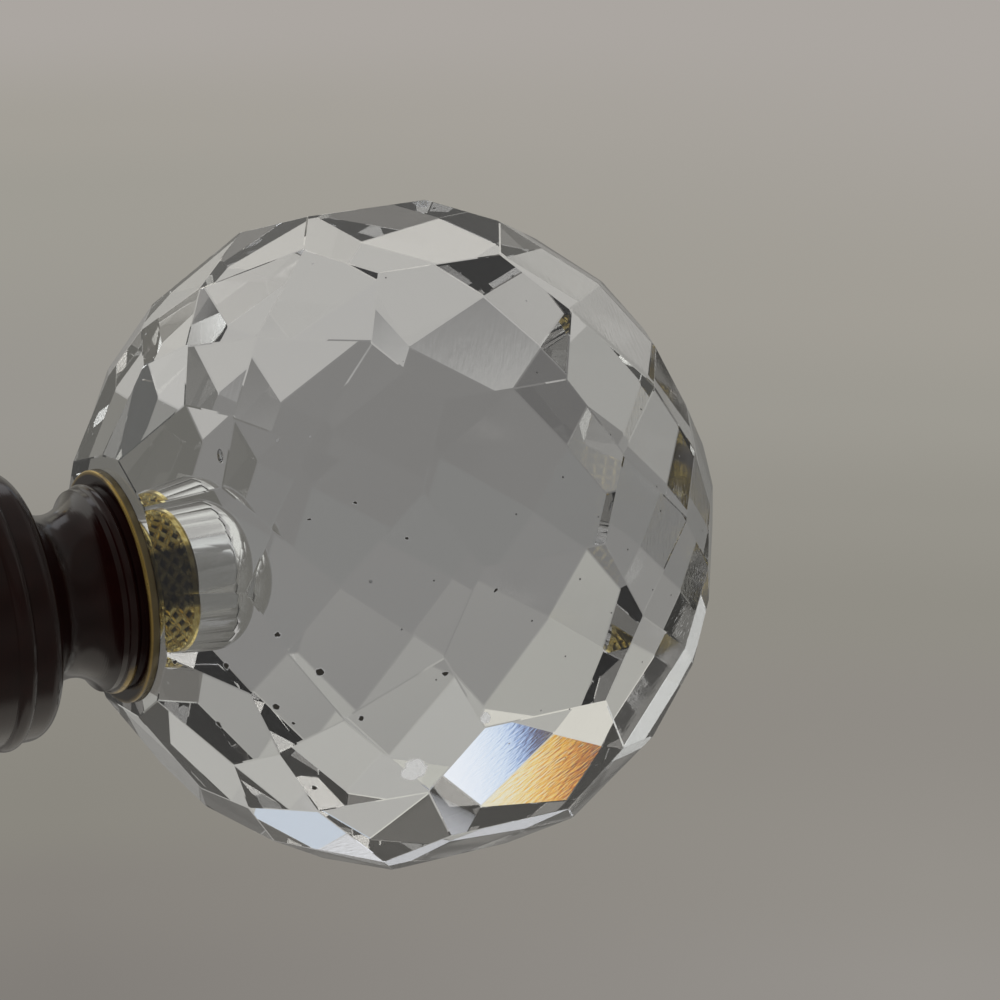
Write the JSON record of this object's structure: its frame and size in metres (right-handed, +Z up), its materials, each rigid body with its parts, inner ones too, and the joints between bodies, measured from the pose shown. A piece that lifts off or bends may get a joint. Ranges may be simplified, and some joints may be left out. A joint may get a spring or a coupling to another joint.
{
  "type": "curtain pole finial",
  "caption": "Faceted clear glass ball on a turned brass socket that slides over the end of a round pole.",
  "frame": {"origin": "centre of the socket's floor, where the end of the pole seats", "axes": "+X along the pole's axis, out of the pole's end towards the ball; +Z up, with the grub screw underneath"},
  "size_m": [0.0906, 0.0581, 0.0585],
  "materials": {
    "clear_glass": "polished",
    "plug_brass": "knurled, worn",
    "bronzed_brass": "dark lacquer, worn bright at the edges",
    "screw_steel": "turned"
  },
  "bodies": {
    "root": {"glass_ball": "clear_glass", "bore_plug": "plug_brass", "pole_socket": "bronzed_brass", "centre_screw": "screw_steel", "grub_screw": "screw_steel"}
  },
  "joints": []
}
